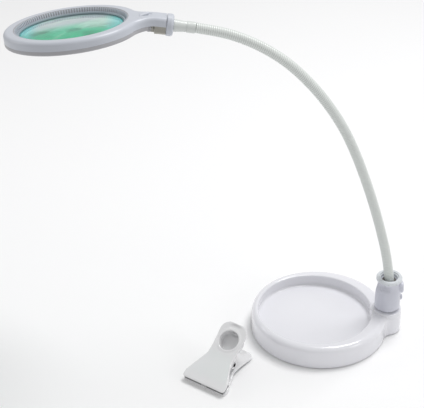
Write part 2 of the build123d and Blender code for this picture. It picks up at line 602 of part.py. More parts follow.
def clip_plan():
    """Outline of the clip from above: wide mouth, waist and rounded lever."""
    outline = Polyline((-JAW_LEN, -JAW_HALF), (-JAW_LEN, JAW_HALF), (-JAW_LEN + 9, JAW_HALF - 0.6),
                       (-4, CLIP_WAIST_HALF), (8, CLIP_WAIST_HALF), (LEVER_LEN - 12, LEVER_HALF),
                       (LEVER_LEN, LEVER_HALF), (LEVER_LEN, -LEVER_HALF), (LEVER_LEN - 12, -LEVER_HALF),
                       (8, -CLIP_WAIST_HALF), (-4, -CLIP_WAIST_HALF), (-JAW_LEN + 9, -JAW_HALF + 0.6),
                       close=True)
    sketch = make_face(outline)
    tips = [v for v in sketch.vertices() if v.X > LEVER_LEN - 1]
    sketch = fillet(tips, LEVER_TIP_R)
    mouth = [v for v in sketch.vertices() if v.X < -JAW_LEN + 1]
    return fillet(mouth, 3.0)


def clip_half():
    skin = Pos(0, JAW_HALF + 1, 0) * extrude(jaw_side(), 2 * JAW_HALF + 2, dir=(0, -1, 0))
    return skin & (Pos(0, 0, -5) * extrude(clip_plan(), 60))


def cheeks(inner, outer):
    """Pivot lugs on both sides, from the skin down to the pivot."""
    boss_r = PIVOT_TUBE_R + 2.0
    out = []
    for sign in (-1, 1):
        near, far = sorted((sign * inner, sign * outer))
        lug = across([(-9, 8.0), (9, 12.5), (boss_r, 0), (-boss_r, 0)], far, near)
        lug += Pos(0, (near + far) / 2, 0) * Rot(90, 0, 0) * Cylinder(boss_r, outer - inner)
        out.append(lug)
    return out[0] + out[1]


def pivot_bar(radius, length=80.0):
    return Rot(90, 0, 0) * Cylinder(radius, length)


def make_clip():
    waist = CLIP_WAIST_HALF - 0.5
    upper = clip_half() + cheeks(waist - 3.4, waist)
    upper += CLIP_SOCKET * disc(SOCKET_R + 2.6, -CLIP_SOCKET_DEPTH - 2, 0)
    upper -= CLIP_SOCKET * disc(SOCKET_R, -CLIP_SOCKET_DEPTH, 10)
    upper -= pivot_bar(PIVOT_TUBE_R + SHAFT_GAP)
    lower = mirror(clip_half() + cheeks(waist - 7.4, waist - 3.8), Plane.XY)
    lower -= pivot_bar(PIVOT_TUBE_R)
    rolled_tube = pivot_bar(PIVOT_TUBE_R, 2 * waist) - pivot_bar(PIVOT_BORE_R)
    spring = pivot_bar(PIVOT_TUBE_R + 1.7, 2 * (waist - 8.2)) - pivot_bar(PIVOT_TUBE_R + 0.3)
    pads = []
    for low, high in ((-JAW_HALF + 2.5, -4.0), (4.0, JAW_HALF - 2.5)):
        pads.append(slab((-JAW_LEN + 1.0, -JAW_LEN + 14.0), (low, high), (0.25, 0.25 + PAD_RUBBER)))
    keep("clip_upper_jaw", CLIP_PLACE * upper)
    keep("clip_lower_jaw", CLIP_PLACE * lower)
    keep("clip_pivot_tube", CLIP_PLACE * rolled_tube)
    keep("clip_spring", CLIP_PLACE * spring)
    keep("upper_jaw_pads", CLIP_PLACE * group(pads))
    keep("lower_jaw_pads", CLIP_PLACE * group([mirror(p, Plane.XY) for p in pads]))


# The clip lies on the lower lip of its mouth and the tip of its lower lever.
CLIP_LEAN = degrees(atan((LEVER_RISE - MOUTH_LIP) / (LEVER_LEN + JAW_LEN)))
CLIP_LIFT = LEVER_RISE * cos(radians(CLIP_LEAN)) - LEVER_LEN * sin(radians(CLIP_LEAN))
CLIP_PLACE = Pos(*CLIP_POS, CLIP_LIFT) * Rot(0, 0, CLIP_YAW) * Rot(0, -CLIP_LEAN, 0)
# Its socket stands square to the upper lever.
CLIP_SOCKET = Pos(CLIP_SOCKET_X, 0, 18.4) * Rot(0, -LEVER_SLOPE, 0)

make_base()
make_plug()
make_stem()
make_neck()
make_ferrule()
make_knuckle()
make_lens()
make_head_shells()
make_head_rings()
make_switch()
make_clip()

os.makedirs("parts", exist_ok=True)
for name, shape in PARTS.items():
    export_step(shape, f"parts/{name}.step")
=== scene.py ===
"""Looks of a gooseneck magnifying lamp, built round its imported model. Metres, +Z up."""

import json
import math

import bmesh
import bpy
from bpy.props import FloatProperty, FloatVectorProperty, IntProperty, PointerProperty
from bpy.types import Operator, Panel, PropertyGroup
from mathutils import Matrix, Vector

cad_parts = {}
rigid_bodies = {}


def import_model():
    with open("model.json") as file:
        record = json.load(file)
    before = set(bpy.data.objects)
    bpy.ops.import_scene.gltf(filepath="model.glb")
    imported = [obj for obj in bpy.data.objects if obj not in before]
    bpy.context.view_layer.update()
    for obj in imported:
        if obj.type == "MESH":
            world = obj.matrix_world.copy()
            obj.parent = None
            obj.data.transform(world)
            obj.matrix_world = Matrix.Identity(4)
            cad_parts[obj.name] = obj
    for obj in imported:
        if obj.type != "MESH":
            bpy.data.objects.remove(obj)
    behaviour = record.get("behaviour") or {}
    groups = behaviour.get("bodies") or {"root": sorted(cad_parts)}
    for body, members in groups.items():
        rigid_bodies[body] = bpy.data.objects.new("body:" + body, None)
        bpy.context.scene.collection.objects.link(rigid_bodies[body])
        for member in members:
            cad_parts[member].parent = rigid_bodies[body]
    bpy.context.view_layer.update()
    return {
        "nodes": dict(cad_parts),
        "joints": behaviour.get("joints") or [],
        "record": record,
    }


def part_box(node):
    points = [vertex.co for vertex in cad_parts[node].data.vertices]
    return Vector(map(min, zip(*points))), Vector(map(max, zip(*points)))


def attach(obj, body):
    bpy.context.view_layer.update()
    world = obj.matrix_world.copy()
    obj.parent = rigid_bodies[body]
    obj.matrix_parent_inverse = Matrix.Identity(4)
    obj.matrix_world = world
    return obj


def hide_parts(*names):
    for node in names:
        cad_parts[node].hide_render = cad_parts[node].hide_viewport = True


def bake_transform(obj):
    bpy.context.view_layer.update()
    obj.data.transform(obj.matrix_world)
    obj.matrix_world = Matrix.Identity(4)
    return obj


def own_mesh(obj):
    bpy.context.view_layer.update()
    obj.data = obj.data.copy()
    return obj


bl_info = {
    "name": "Magnifying Lamp",
    "version": (1, 0, 0),
    "blender": (4, 5, 0),
    "location": "View3D > Sidebar > Lamp",
    "description": "Builds the looks of a ring-lit magnifying lamp, its dish base and its clip",
    "category": "Object",
}

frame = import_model()
NODES = frame["nodes"]
JOINTS = {j["name"]: j for j in frame["joints"]}
MM = 0.001


def middle(node):
    low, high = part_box(node)
    return (low + high) / 2


def axes_frame(origin, x, z):
    """Matrix that puts a piece made at the origin where its part is."""
    x, z = Vector(x).normalized(), Vector(z).normalized()
    y = z.cross(x).normalized()
    turn = Matrix((y.cross(z), y, z)).transposed().to_4x4()
    return Matrix.Translation(origin) @ turn


# The head's frame: X towards the gooseneck, Z up through the lens, origin at the lens's seat.
HEAD_X = Vector(JOINTS["power_slide"]["axis"])
HEAD_Z = HEAD_X.cross(-Vector(JOINTS["head_tilt"]["axis"])).normalized()
LENS_MIDDLE_H = 1.65 * MM
LENS_R = 57 * MM
LED_RING_R = LENS_R + 5.6 * MM
LED_COUNT = 36
LED_START = 5.0
HEAD = axes_frame(middle("lens") - HEAD_Z * LENS_MIDDLE_H, HEAD_X, HEAD_Z)
# The clip's frame: Y along the pivot, -X towards the mouth.
CLIP_Y = Vector(JOINTS["clip_squeeze"]["axis"])
CLIP_ORIGIN = Vector(JOINTS["clip_squeeze"]["pos_m"])
CLIP_X = CLIP_ORIGIN - (middle("upper_jaw_pads") + middle("lower_jaw_pads")) / 2
CLIP = axes_frame(CLIP_ORIGIN, CLIP_X, CLIP_X.cross(CLIP_Y))
STEM_AXIS = Vector(JOINTS["arm_swivel"]["pos_m"])


def neck_hinges():
    """Bodies and hinge places up the gooseneck, from the stem to its far end."""
    follow = {j["parent"]: j for j in frame["joints"] if j["child"].startswith("neck_")}
    bodies, places = ["stem"], []
    while bodies[-1] in follow:
        joint = follow[bodies[-1]]
        places.append(Vector(joint["pos_m"]))
        bodies.append(joint["child"])
    return bodies, places


# ---------------------------------------------------------------- sizes and colours
def size(name, text, value, **more):
    return FloatProperty(name=name, description=text, default=value, subtype="DISTANCE", unit="LENGTH",
                         precision=5, **more)


def tint(name, text, value):
    return FloatVectorProperty(name=name, description=text, default=value, size=3, subtype="COLOR",
                               min=0.0, max=1.0)


class LampSizes(PropertyGroup):
    """Sizes of the details that the looks add."""

    neck_radius: size("Gooseneck radius", "Outside of the gooseneck's ridges", 5.8 * MM)
    neck_pitch: size("Ridge pitch", "Distance from one ridge of the gooseneck to the next", 2.3 * MM)
    neck_ridge: size("Ridge height", "Depth of the groove between two ridges", 0.34 * MM)
    neck_start: size("Buried start", "Length of gooseneck hidden below its first hinge", 1.0 * MM)
    neck_end: size("Buried end", "Length of gooseneck hidden beyond its last hinge", 6.0 * MM)
    neck_bend: size("Bend reach", "Length of gooseneck on each side of a hinge that bends with it", 12.0 * MM)
    rib_count: IntProperty(name="Ribs", description="Radial ribs round the lens", default=128,
                           min=12)
    rib_width: size("Rib width", "Width of one rib", 1.5 * MM)
    rib_depth: size("Rib depth", "How far a rib stands out of the funnel", 1.2 * MM)
    rib_height: size("Rib height", "Height of a rib", 4.8 * MM)
    spring_wire: size("Spring wire", "Radius of the springs' wire", 0.42 * MM)
    voxel: size("Clip detail", "Size of the grid that the clip is rounded with", 0.62 * MM)


class LampColours(PropertyGroup):
    """Main colours of the finishes."""

    shell: tint("Head shell", "Satin white of the head", (0.53, 0.555, 0.61))
    underside: tint("Lower shell", "Grey of the head's lower shell", (0.40, 0.40, 0.42))
    sleeve: tint("Gooseneck", "White of the gooseneck", (0.70, 0.73, 0.71))
    stem: tint("Foot", "Lavender white of the foot", (0.60, 0.61, 0.68))
    base: tint("Base", "High gloss white of the base", (0.80, 0.80, 0.84))
    clip: tint("Clip", "High gloss white of the clip", (0.78, 0.78, 0.79))
    glass: tint("Lens", "Green tint of the lens", (0.06, 0.78, 0.44))
    barrel: tint("Barrel", "Satin metal under the handle", (0.42, 0.41, 0.37))
    floor: tint("Floor", "Pale floor", (0.93, 0.93, 0.935))


# ---------------------------------------------------------------- node recipes
class Wire:
    """A node's output. Python's operators on it add Math nodes."""

    def __init__(self, recipe, socket):
        self.recipe, self.socket = recipe, socket

    def __add__(self, other):
        return self.recipe.maths("ADD", self, other)

    def __radd__(self, other):
        return self.recipe.maths("ADD", other, self)

    def __sub__(self, other):
        return self.recipe.maths("SUBTRACT", self, other)

    def __rsub__(self, other):
        return self.recipe.maths("SUBTRACT", other, self)

    def __mul__(self, other):
        return self.recipe.maths("MULTIPLY", self, other)

    def __rmul__(self, other):
        return self.recipe.maths("MULTIPLY", other, self)

    def __truediv__(self, other):
        return self.recipe.maths("DIVIDE", self, other)

    def __rtruediv__(self, other):
        return self.recipe.maths("DIVIDE", other, self)

    def __neg__(self):
        return self.recipe.maths("MULTIPLY", self, -1.0)

    def __pow__(self, power):
        return self.recipe.maths("POWER", self, power)


class Recipe:
    """Builds a node tree, for a material or for Geometry Nodes, one call to a node."""

    def __init__(self, tree):
        self.tree = tree

    def node(self, kind, settings=None, inputs=None, output=0):
        made = self.tree.nodes.new(kind)
        for key, value in (settings or {}).items():
            if key == "stops":
                ramp = made.color_ramp
                while len(ramp.elements) < len(value):
                    ramp.elements.new(1.0)
                for element, (place, colour) in zip(ramp.elements, value):
                    element.position = place
                    element.color = (*colour, 1.0)
            else:
                setattr(made, key, value)
        for key, value in (inputs or {}).items():
            self.feed(made.inputs[key], value)
        return Wire(self, made.outputs[output])

    def feed(self, socket, value):
        if isinstance(value, Wire):
            self.tree.links.new(value.socket, socket)
        elif socket.type == "RGBA" and len(value) == 3:
            socket.default_value = (*value, 1.0)
        else:
            socket.default_value = value

    def maths(self, operation, a, b=0.0, c=0.0):
        return self.node("ShaderNodeMath", {"operation": operation}, {0: a, 1: b, 2: c})

    def vector(self, operation, a, b=(0.0, 0.0, 0.0), output=0):
        return self.node("ShaderNodeVectorMath", {"operation": operation}, {0: a, 1: b}, output)

    def smooth(self, value, low, high):
        """0 below low, 1 above high, and a smooth step between."""
        return self.node("ShaderNodeMapRange", {"interpolation_type": "SMOOTHSTEP"},
                         {"Value": value, "From Min": low, "From Max": high})

    def sine(self, value):
        return self.maths("SINE", value)


class Finish(Recipe):
    """One procedural material on the object's own coordinates."""

    def __init__(self, name, **constants):
        self.material = bpy.data.materials.new(name)
        self.material.use_nodes = True
        super().__init__(self.material.node_tree)
        self.shader = self.tree.nodes["Principled BSDF"]
        for key, value in constants.items():
            self.feed(self.shader.inputs[key.replace("_", " ")], value)
        self.place = self.node("ShaderNodeTexCoord", output="Object")

    def local(self, matrix, scale=(1.0, 1.0, 1.0)):
        """Coordinates in a part's own frame."""
        inverse = matrix.inverted()
        turned = self.node("ShaderNodeMapping", {"vector_type": "POINT"},
                           {"Vector": self.place, "Location": inverse.translation,
                            "Rotation": inverse.to_euler("XYZ")})
        if scale == (1.0, 1.0, 1.0):
            return turned
        return self.vector("MULTIPLY", turned, scale)

    def split(self, vector):
        apart = self.node("ShaderNodeSeparateXYZ", None, {0: vector}).socket.node
        return [Wire(self, s) for s in apart.outputs]

    def noise(self, scale, detail=2.0, at=None, rough=0.5):
        return self.node("ShaderNodeTexNoise", None,
                         {"Vector": at or self.place, "Scale": scale, "Detail": detail, "Roughness": rough})

    def cells(self, scale):
        return self.node("ShaderNodeTexVoronoi", None, {"Vector": self.place, "Scale": scale})

    def mix(self, factor, a, b):
        return self.node("ShaderNodeMix", {"data_type": "RGBA"}, {0: factor, 6: a, 7: b}, 2)

    def attribute(self, name):
        return self.node("ShaderNodeAttribute", {"attribute_name": name}, None, "Fac")

    def set(self, socket, value):
        self.feed(self.shader.inputs[socket], value)

    def relief(self, height, distance, strength=1.0, under=None):
        """Bump from a height that runs from 0 to 1, over another bump if there is one."""
        inputs = {"Height": height, "Distance": distance, "Strength": strength}
        if under is not None:
            inputs["Normal"] = under
        bump = self.node("ShaderNodeBump", None, inputs)
        self.set("Normal", bump)
        return bump


def scaled(colour, factor):
    return tuple(min(1.0, c * factor) for c in colour)


def moulded(name, colour, roughness, grain=2200.0, depth=0.02 * MM, tone=0.05, **constants):
    """Injection moulded plastic: fine spark-eroded grain, faint flow clouds and handling marks."""
    f = Finish(name, **constants)
    flow = f.noise(26.0, 3.0)
    fine = f.noise(grain, 2.0)
    pits = f.cells(grain * 0.45)
    f.set("Base Color", f.mix(flow, scaled(colour, 1.0 - tone), scaled(colour, 1.0 + tone)))
    rub = f.smooth(f.noise(95.0, 4.0), 0.45, 0.7)
    f.set("Roughness", roughness + (fine - 0.5) * 0.10 + rub * 0.05)
    f.relief(fine * 0.6 + pits * 0.4, depth)
    return f


def brushed(name, colour, roughness, matrix, scale, **constants):
    """Satin metal with lines drawn along one way."""
    f = Finish(name, Metallic=1.0, **constants)
    lines = f.noise(1.0, 3.0, f.local(matrix, scale))
    clouds = f.noise(60.0, 2.0)
    f.set("Base Color", f.mix(lines * 0.6 + clouds * 0.4, scaled(colour, 0.82), scaled(colour, 1.15)))
    f.set("Roughness", roughness + (lines - 0.5) * 0.22)
    f.relief(lines, 0.03 * MM)
    return f


def make_finishes(colours):
    """Every finish, by the record's slot name."""
    made = {}
    made["satin_white_shell"] = moulded("satin_white_shell", colours.shell, 0.36, 3000.0, 0.012 * MM,
                                        Coat_Weight=0.12, Coat_Roughness=0.3)
    made["grey_shell"] = moulded("grey_shell", colours.underside, 0.42, 2600.0, 0.02 * MM)
    made["switch_plastic"] = moulded("switch_plastic", scaled(colours.shell, 1.2), 0.3, 2600.0, 0.015 * MM)
    made["inner_plastic"] = moulded("inner_plastic", (0.06, 0.065, 0.07), 0.5, 1800.0, 0.04 * MM)
    made["retainer_plastic"] = moulded("retainer_plastic", (0.30, 0.36, 0.40), 0.35, 2400.0)
    made["plate_white"] = moulded("plate_white", scaled(colours.base, 0.9), 0.45, 1500.0, 0.05 * MM)
    clip = moulded("clip_white", colours.clip, 0.14, 2400.0, 0.004 * MM, 0.02,
                   Coat_Weight=0.6, Coat_Roughness=0.06)
    x, y, z = clip.split(clip.local(CLIP))
    along, aside = (x / MM - 33.0) / 4.2, y / (9.0 * MM)
    dish = clip.smooth(clip.maths("SQRT", along * along + aside * aside), 0.2, 1.1)
    clip.relief(dish, 1.6 * MM)
    made["clip_white"] = clip

    made["base_white"] = moulded("base_white", colours.base, 0.16, 2400.0, 0.004 * MM, 0.02,
                                 Coat_Weight=0.5, Coat_Roughness=0.08)

    sleeve = Finish("gooseneck_steel", Coat_Weight=0.25, Coat_Roughness=0.25)
    ridge = sleeve.attribute("ridge")
    dust = sleeve.noise(160.0, 4.0)
    # Painted shade: the grooves between the ridges are painted dark. The same mask also makes the crests
    # glossier.
    groove = sleeve.smooth(ridge, 0.0, 0.55)
    crest_colour = sleeve.mix(dust, scaled(colours.sleeve, 0.95), scaled(colours.sleeve, 1.05))
    sleeve.set("Base Color", sleeve.mix(groove, (0.32, 0.35, 0.31), crest_colour))
    sleeve.set("Roughness", 0.5 - groove * 0.16 + (dust - 0.5) * 0.1)
    sleeve.relief(sleeve.noise(2600.0, 2.0), 0.012 * MM)
    made["gooseneck_steel"] = sleeve

    made["sleeve_white"] = moulded("sleeve_white", scaled(colours.sleeve, 0.92), 0.34, 2400.0, 0.012 * MM,
                                   Coat_Weight=0.2)

    stem = Finish("stem_plastic", Coat_Weight=0.25, Coat_Roughness=0.2)
    x, y, height = stem.split(stem.place)
    grip = stem.smooth(height, 60.5 * MM, 61.5 * MM) * (1.0 - stem.smooth(height, 68.0 * MM, 69.0 * MM))
    side = stem.smooth((STEM_AXIS.x - x) / MM, -3.0, 1.0)
    lines = stem.sine(height * (2 * math.pi / (1.9 * MM))) * 0.5 + 0.5
    fine = stem.noise(2600.0, 2.0)
    cloud = stem.noise(30.0, 3.0)
    stem.set("Base Color", stem.mix(cloud, scaled(colours.stem, 0.96), scaled(colours.stem, 1.04)))
    stem.set("Roughness", 0.32 + (fine - 0.5) * 0.1)
    stem.relief(lines * grip * side, 0.45 * MM, 1.0, stem.relief(fine, 0.012 * MM))
    made["stem_plastic"] = stem

    clear = Finish("clear_plastic", Transmission_Weight=0.08, IOR=1.49, Coat_Weight=0.3)
    haze = clear.noise(140.0, 3.0)
    clear.set("Base Color", clear.mix(haze, (0.66, 0.69, 0.72), (0.76, 0.79, 0.82)))
    clear.set("Roughness", 0.22 + haze * 0.12)
    clear.relief(clear.noise(1500.0, 2.0), 0.01 * MM)
    made["clear_plastic"] = clear

    glass = Finish("lens_glass", IOR=1.5, Transmission_Weight=0.6, Coat_Weight=0.4, Coat_Roughness=0.02)
    x, y, z = glass.split(glass.local(HEAD))
    veil = glass.noise(18.0, 2.0)
    # Painted reflection: pale mint streaks slanting across the lens, drawn from stretched noise.
    slant = glass.node("ShaderNodeVectorRotate", {"rotation_type": "Z_AXIS"},
                       {"Vector": glass.local(HEAD), "Angle": math.radians(-52.0)})
    painted_reflection_streak = glass.noise(30.0, 2.0, glass.vector("MULTIPLY", slant, (0.22, 1.0, 1.0)))
    # Painted refraction: the lens is painted greener towards its front and paler towards its back, with the
    # edge between them wobbled by noise.
    painted_refraction_front = glass.smooth(-y / MM + (veil - 0.5) * 46.0, -14.0, 26.0)
    tone = glass.mix(painted_refraction_front, (0.60, 0.72, 0.74), colours.glass)
    tone = glass.mix(glass.smooth(painted_reflection_streak, 0.53, 0.62) * 0.75, tone, (0.62, 0.93, 0.80))
    # Painted shade: dark green patches over the front of the lens.
    shade = glass.smooth(glass.noise(42.0, 1.0), 0.53, 0.62) * painted_refraction_front
    tone = glass.mix(shade * 0.85, tone, (0.015, 0.34, 0.20))
    # Painted highlight: bright cyan glints towards the left and right edges of the lens.
    painted_edge_glint = glass.smooth(glass.maths("ABSOLUTE", x) / MM, 32.0, 50.0)
    glass.set("Base Color", glass.mix(painted_edge_glint * 0.75, tone, (0.16, 0.90, 0.90)))
    glass.set("Roughness", 0.01 + glass.smooth(glass.noise(300.0, 5.0), 0.6, 0.8) * 0.02)
    made["lens_glass"] = glass

    made["gasket_rubber"] = moulded("gasket_rubber", (0.22, 0.29, 0.32), 0.55, 1600.0, 0.05 * MM)
    made["jaw_rubber"] = moulded("jaw_rubber", (0.16, 0.16, 0.165), 0.62, 1300.0, 0.08 * MM)

    pad = Finish("pad_rubber")
    x, y, z = pad.split(pad.place)
    rings = pad.sine(pad.maths("SQRT", x * x + y * y) * (2 * math.pi / (3.0 * MM))) * 0.5 + 0.5
    pores = pad.cells(900.0)
    pad.set("Base Color", pad.mix(rings, (0.018, 0.018, 0.02), (0.05, 0.05, 0.053)))
    pad.set("Roughness", 0.7 + pores * 0.2)
    pad.relief(rings * 0.8 + pores * 0.2, 0.5 * MM)
    made["pad_rubber"] = pad

    board = Finish("circuit_board", Coat_Weight=0.3)
    x, y, z = board.split(board.local(HEAD))
    reach = board.maths("SQRT", x * x + y * y)
    track = board.smooth(board.sine(reach * (2 * math.pi / (2.4 * MM))), 0.55, 0.8)
    mask = board.noise(700.0, 2.0)
    board.set("Base Color", board.mix(track, board.mix(mask, (0.70, 0.72, 0.70), (0.78, 0.79, 0.77)),
                                      (0.60, 0.64, 0.60)))
    board.set("Roughness", 0.36 - track * 0.08)
    board.relief(track, 0.06 * MM)
    made["circuit_board"] = board

    chip = Finish("led_chip", Emission_Strength=0.25, Coat_Weight=0.5)
    x, y, z = chip.split(chip.local(HEAD))
    chip_step = 360.0 / LED_COUNT
    angle = chip.maths("ARCTAN2", y, x) * (180 / math.pi)
    turn = chip.maths("FRACT", (angle - LED_START) / chip_step + 0.5) - 0.5
    reach = chip.maths("SQRT", x * x + y * y)
    across = turn * (2 * math.pi * LED_RING_R / MM / LED_COUNT)
    along = (reach - LED_RING_R) / MM
    dot = 1.0 - chip.smooth(chip.maths("SQRT", across * across + along * along), 0.95, 1.15)
    chip.set("Base Color", chip.mix(dot, (0.85, 0.85, 0.82), (0.93, 0.78, 0.26)))
    chip.set("Emission Color", chip.mix(dot, (0.0, 0.0, 0.0), (1.0, 0.93, 0.7)))
    chip.set("Roughness", 0.35 - dot * 0.2)
    made["led_chip"] = chip

    frost = Finish("frosted_cover", Transmission_Weight=0.55, Subsurface_Weight=0.3, Subsurface_Scale=3 * MM,
                   IOR=1.49)
    x, y, z = frost.split(frost.local(HEAD))
    prism = frost.sine(frost.maths("SQRT", x * x + y * y) * (2 * math.pi / (1.0 * MM))) * 0.5 + 0.5
    frost.set("Base Color", frost.mix(prism, (0.84, 0.87, 0.89), (0.92, 0.94, 0.95)))
    frost.set("Roughness", 0.42 + frost.noise(1800.0, 2.0) * 0.16)
    frost.relief(prism, 0.12 * MM)
    made["frosted_cover"] = frost

    made["barrel_metal"] = brushed("barrel_metal", colours.barrel, 0.3, HEAD, (3200.0, 220.0, 3200.0))
    made["screw_steel"] = brushed("screw_steel", (0.55, 0.55, 0.57), 0.3, HEAD, (900.0, 900.0, 4000.0))
    made["spring_steel"] = brushed("spring_steel", (0.50, 0.50, 0.52), 0.28, HEAD, (2500.0, 2500.0, 2500.0))
    made["tube_metal"] = brushed("tube_metal", (0.72, 0.72, 0.73), 0.18, HEAD, (2000.0, 300.0, 2000.0))
    made["anchor_brass"] = brushed("anchor_brass", (0.16, 0.15, 0.14), 0.4, Matrix.Identity(4),
                                   (400.0, 400.0, 5000.0))

    made["jack_black"] = moulded("jack_black", (0.02, 0.02, 0.022), 0.3, 2000.0, 0.02 * MM)

    iron = Finish("ballast", Metallic=0.3)
    cast = iron.noise(420.0, 5.0, rough=0.65)
    iron.set("Base Color", iron.mix(cast, (0.03, 0.03, 0.033), (0.09, 0.09, 0.095)))
    iron.set("Roughness", 0.55 + cast * 0.25)
    iron.relief(cast, 0.3 * MM)
    made["ballast"] = iron
    return made


FINISHES = {}


# ---------------------------------------------------------------- geometry recipes
class Pattern(Recipe):
    """A Geometry Nodes tree with named inputs that ends in Realize Instances and Set Material."""

    def __init__(self, name, **inputs):
        super().__init__(bpy.data.node_groups.new(name, "GeometryNodeTree"))
        face = self.tree.interface
        face.new_socket("Geometry", in_out="INPUT", socket_type="NodeSocketGeometry")
        for key, (kind, default) in inputs.items():
            made = face.new_socket(key, in_out="INPUT", socket_type=kind)
            if default is not None:
                made.default_value = default
        face.new_socket("Geometry", in_out="OUTPUT", socket_type="NodeSocketGeometry")
        self.start = self.tree.nodes.new("NodeGroupInput")
        self.end = self.tree.nodes.new("NodeGroupOutput")

    def given(self, name):
        return Wire(self, self.start.outputs[name])

    def close(self, geometry, finish):
        whole = self.node("GeometryNodeRealizeInstances", None, {"Geometry": geometry})
        painted = self.node("GeometryNodeSetMaterial", None, {"Geometry": whole, "Material": finish})
        self.tree.links.new(painted.socket, self.end.inputs[0])
        return self.tree


LENGTH = ("NodeSocketFloat", 0.0)
NUMBER = ("NodeSocketInt", 1)
FINISH = ("NodeSocketMaterial", None)


def sleeve_pattern():
    """A stretch of tube along a line of points, with spiral ridges that run on from piece to piece."""
    p = Pattern("spiral_sleeve", Radius=LENGTH, Ridge=LENGTH, Pitch=LENGTH, From=LENGTH, To=LENGTH,
                Finish=FINISH)
    line = p.node("GeometryNodeMeshToCurve", None, {"Mesh": p.given("Geometry")})
    line = p.node("GeometryNodeCurveSplineType", {"spline_type": "CATMULL_ROM"}, {"Curve": line})
    line = p.node("GeometryNodeSetSplineResolution", None, {"Geometry": line, "Resolution": 32})
    line = p.node("GeometryNodeResampleCurve", {"mode": "LENGTH"},
                  {"Curve": line, "Length": p.given("Pitch") / 8.0})
    run = p.node("GeometryNodeSplineParameter", None, None, "Length")
    tangent = p.node("GeometryNodeInputTangent")
    for name, kind, value in (("run", "FLOAT", run), ("heading", "FLOAT_VECTOR", tangent),
                              ("core", "FLOAT_VECTOR", p.node("GeometryNodeInputPosition"))):
        line = p.node("GeometryNodeStoreNamedAttribute", {"data_type": kind, "domain": "POINT"},
                      {"Geometry": line, "Name": name, "Value": value})
    line = p.node("GeometryNodeTrimCurve", {"mode": "LENGTH"},
                  {"Curve": line, 4: p.given("From"), 5: p.given("To")})
    ring = p.node("GeometryNodeCurvePrimitiveCircle", None, {"Resolution": 28, "Radius": p.given("Radius")})
    tube = p.node("GeometryNodeCurveToMesh", None, {"Curve": line, "Profile Curve": ring, "Fill Caps": True})

    def stored(name, kind):
        return p.node("GeometryNodeInputNamedAttribute", {"data_type": kind}, {"Name": name})

    core, heading = stored("core", "FLOAT_VECTOR"), stored("heading", "FLOAT_VECTOR")
    side = (0.0, 1.0, 0.0)
    out = p.vector("NORMALIZE", p.vector("SUBTRACT", p.node("GeometryNodeInputPosition"), core))
    across = p.vector("DOT_PRODUCT", out, side, "Value")
    up = p.vector("DOT_PRODUCT", out, p.vector("CROSS_PRODUCT", heading, side), "Value")
    turn = p.maths("ARCTAN2", across, up) / (2 * math.pi)
    phase = p.maths("FRACT", stored("run", "FLOAT") / p.given("Pitch") + turn)
    ridge = p.maths("ABSOLUTE", p.sine(phase * math.pi)) ** 0.7
    reach = p.given("Radius") - p.given("Ridge") * (1.0 - ridge)
    away = p.node("ShaderNodeVectorMath", {"operation": "SCALE"}, {0: out, "Scale": reach})
    tube = p.node("GeometryNodeStoreNamedAttribute", {"data_type": "FLOAT", "domain": "POINT"},
                  {"Geometry": tube, "Name": "ridge", "Value": ridge})
    tube = p.node("GeometryNodeSetPosition", None,
                  {"Geometry": tube, "Position": p.vector("ADD", core, away)})
    tube = p.node("GeometryNodeSetShadeSmooth", None, {"Geometry": tube, "Shade Smooth": True})
    return p.close(tube, p.given("Finish"))


def ring_pattern():
    """Copies of a piece set evenly round a circle, each turned to face the middle."""
    p = Pattern("ring_of_pieces", Count=NUMBER, Radius=LENGTH, Start=LENGTH, Finish=FINISH)
    angle = p.node("GeometryNodeInputIndex") * (2 * math.pi) / p.given("Count") + p.given("Start")
    spot = p.node("ShaderNodeCombineXYZ", None, {"X": p.maths("COSINE", angle) * p.given("Radius"),
                                                "Y": p.sine(angle) * p.given("Radius")})
    spots = p.node("GeometryNodePoints", None, {"Count": p.given("Count"), "Position": spot})
    turn = p.node("FunctionNodeEulerToRotation", None,
                  {0: p.node("ShaderNodeCombineXYZ", None, {"Z": angle})})
    held = p.node("GeometryNodeStoreNamedAttribute", {"data_type": "QUATERNION", "domain": "POINT"},
                  {"Geometry": spots, "Name": "facing", "Value": turn})
    facing = p.node("GeometryNodeInputNamedAttribute", {"data_type": "QUATERNION"}, {"Name": "facing"})
    copies = p.node("GeometryNodeInstanceOnPoints", None,
                    {"Points": held, "Instance": p.given("Geometry"), "Rotation": facing})
    return p.close(copies, p.given("Finish"))


def spring_pattern():
    """A wire coil along Z."""
    p = Pattern("wire_coil", Radius=LENGTH, Wire=LENGTH, Height=LENGTH, Turns=LENGTH, Finish=FINISH)
    coil = p.node("GeometryNodeCurveSpiral", None,
                  {"Resolution": 20, "Rotations": p.given("Turns"), "Start Radius": p.given("Radius"),
                   "End Radius": p.given("Radius"), "Height": p.given("Height")})
    wire = p.node("GeometryNodeCurvePrimitiveCircle", None, {"Resolution": 10, "Radius": p.given("Wire")})
    tube = p.node("GeometryNodeCurveToMesh", None, {"Curve": coil, "Profile Curve": wire, "Fill Caps": True})
    tube = p.node("GeometryNodeSetShadeSmooth", None, {"Geometry": tube, "Shade Smooth": True})
    return p.close(tube, p.given("Finish"))


def linked(name, mesh):
    made = bpy.data.objects.new(name, mesh)
    bpy.context.scene.collection.objects.link(made)
    return made


